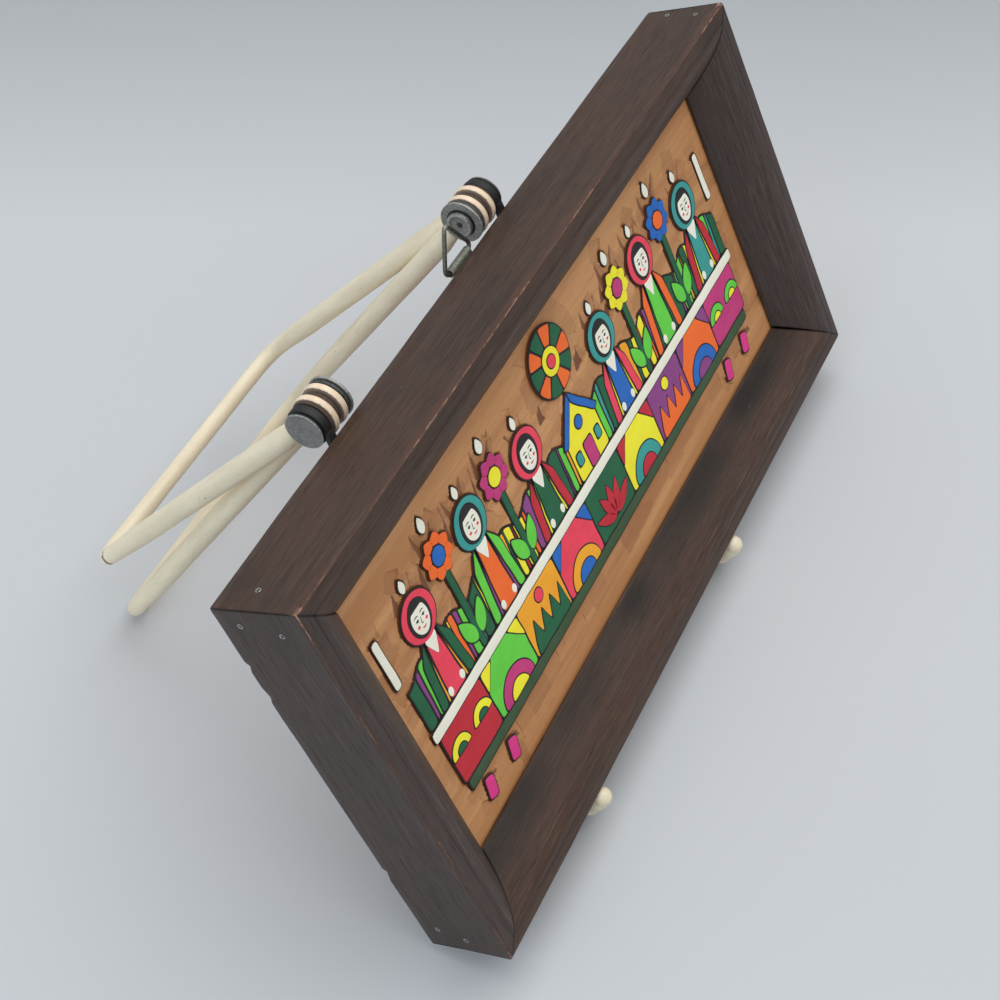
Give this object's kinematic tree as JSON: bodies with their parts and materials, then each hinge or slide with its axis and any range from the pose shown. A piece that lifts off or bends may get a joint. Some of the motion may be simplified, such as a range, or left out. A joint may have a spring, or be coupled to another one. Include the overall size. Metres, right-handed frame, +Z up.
{
  "type": "carved wood wall plaque on a folding easel",
  "caption": "Shallow carved and painted wood panel in a deep mitred frame with a hanging ring, leaning on a folding rod easel with hooks in front and hinged legs behind.",
  "frame": {"origin": "on the ground, under the middle of the whole object", "axes": "+Z up, -Y towards the viewer of the carving, +X to the viewer's right along the plaque's long side"},
  "size_m": [0.28, 0.184, 0.1446],
  "materials": {
    "frame_wood": "walnut stain, satin",
    "panel_wood": "bare carved wood with bright paint on the raised shapes",
    "cream_sleeve": "satin, lightly specked",
    "black_steel": "dull black",
    "grey_steel": "worn zinc grey",
    "brown_fibre": "matte"
  },
  "bodies": {
    "plaque_and_uprights": {"frame_top": "frame_wood", "frame_bottom": "frame_wood", "frame_left": "frame_wood", "frame_right": "frame_wood", "carved_panel": "panel_wood", "hanger_strap": "grey_steel", "hanger_screw": "grey_steel", "upright_left": "black_steel", "upright_right": "black_steel", "hook_cap_left": "cream_sleeve", "hook_cap_right": "cream_sleeve", "hinge_bolt_left": "grey_steel", "hinge_bolt_right": "grey_steel", "outer_spacer_left": "brown_fibre", "outer_spacer_right": "brown_fibre", "middle_washer_left": "brown_fibre", "middle_washer_right": "brown_fibre", "black_washer_left": "black_steel", "black_washer_right": "black_steel", "steel_washer_left": "grey_steel", "steel_washer_right": "grey_steel", "domed_nut_left": "grey_steel", "domed_nut_right": "grey_steel"},
    "rear_leg": {"rear_leg": "cream_sleeve"},
    "brace": {"brace": "cream_sleeve"},
    "hanger_ring": {"hanger_ring": "grey_steel"}
  },
  "joints": [
    {"name": "rear_leg_fold", "type": "hinge", "parent": "plaque_and_uprights", "child": "rear_leg", "pos_m": [-0.0228, 0.00424, 0.133], "axis": [-1, 0, 0], "range_deg": [0, 55]},
    {"name": "brace_fold", "type": "hinge", "parent": "rear_leg", "child": "brace", "pos_m": [-0.0228, 0.00424, 0.133], "axis": [-1, 0, 0], "range_deg": [-110, 2]},
    {"name": "hanger_swing", "type": "hinge", "parent": "plaque_and_uprights", "child": "hanger_ring", "pos_m": [0.002, -0.00231, 0.13204], "axis": [-1, 0, 0], "range_deg": [-40, 155]}
  ]
}
